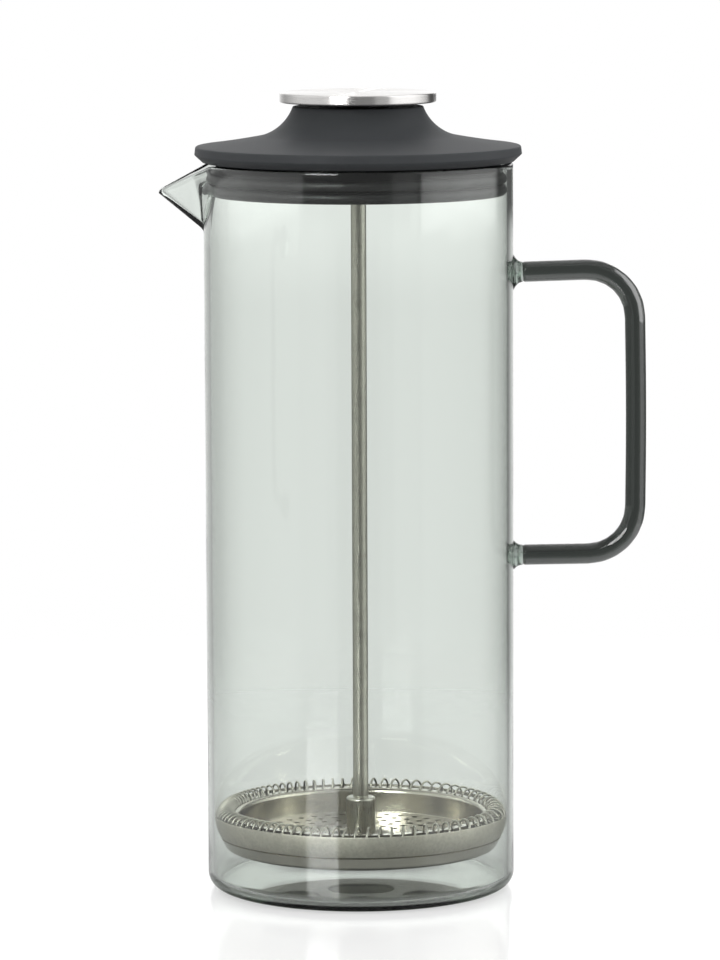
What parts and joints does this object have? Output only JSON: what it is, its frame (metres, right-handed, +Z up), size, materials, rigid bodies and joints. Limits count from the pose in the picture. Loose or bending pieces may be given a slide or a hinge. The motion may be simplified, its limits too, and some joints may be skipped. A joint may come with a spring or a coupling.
{
  "type": "french press",
  "caption": "Cylindrical glass press with a pinched beak, a bent glass rod handle, a hat-shaped lid and a plunger with a coil-edged filter.",
  "frame": {"origin": "centre of the beaker's flat base, on the surface it stands on", "axes": "+Z up along the beaker's axis, +X towards the handle, -X towards the beak"},
  "size_m": [0.1576, 0.1056, 0.2591],
  "materials": {
    "beaker_glass": "clear smoke-tinted borosilicate glass, fire-polished",
    "handle_glass": "dark smoke glass rod, clear and glossy",
    "lid_matte": "dark grey, fine satin texture",
    "plug_plastic": "black moulded plastic, satin",
    "silicone": "dark grey silicone, smooth satin",
    "knob_steel": "stainless steel, brushed round the axis",
    "boss_metal": "black coated steel collar, satin",
    "rod_steel": "stainless steel, ground bright",
    "filter_steel": "stainless sheet, pressed and polished",
    "spring_steel": "bright drawn stainless wire",
    "mesh_steel": "fine woven stainless wire cloth"
  },
  "bodies": {
    "jug": {"glass_beaker": "beaker_glass", "glass_handle": "handle_glass"},
    "lid": {"lid_shell": "lid_matte", "lid_plug": "plug_plastic", "lid_gasket": "silicone", "rod_guide": "plug_plastic"},
    "plunger": {"knob_disc": "knob_steel", "knob_boss": "boss_metal", "plunger_rod": "rod_steel"},
    "filter": {"filter_hub": "rod_steel", "coil_plate": "filter_steel", "coil_spring": "spring_steel", "mesh_screen": "mesh_steel", "cross_plate": "filter_steel", "clamp_nut": "spring_steel"}
  },
  "joints": [
    {"name": "lid_lift", "type": "slide", "parent": "jug", "child": "lid", "axis": [0, 0, 1], "range_m": [0, 0.24]},
    {"name": "plunger_slide", "type": "slide", "parent": "lid", "child": "plunger", "axis": [0, 0, 1], "range_m": [0, 0.195]},
    {"name": "filter_turn", "type": "hinge", "parent": "plunger", "child": "filter", "pos_m": [0, 0, 0.0246], "axis": [0, 0, 1], "continuous": true}
  ]
}
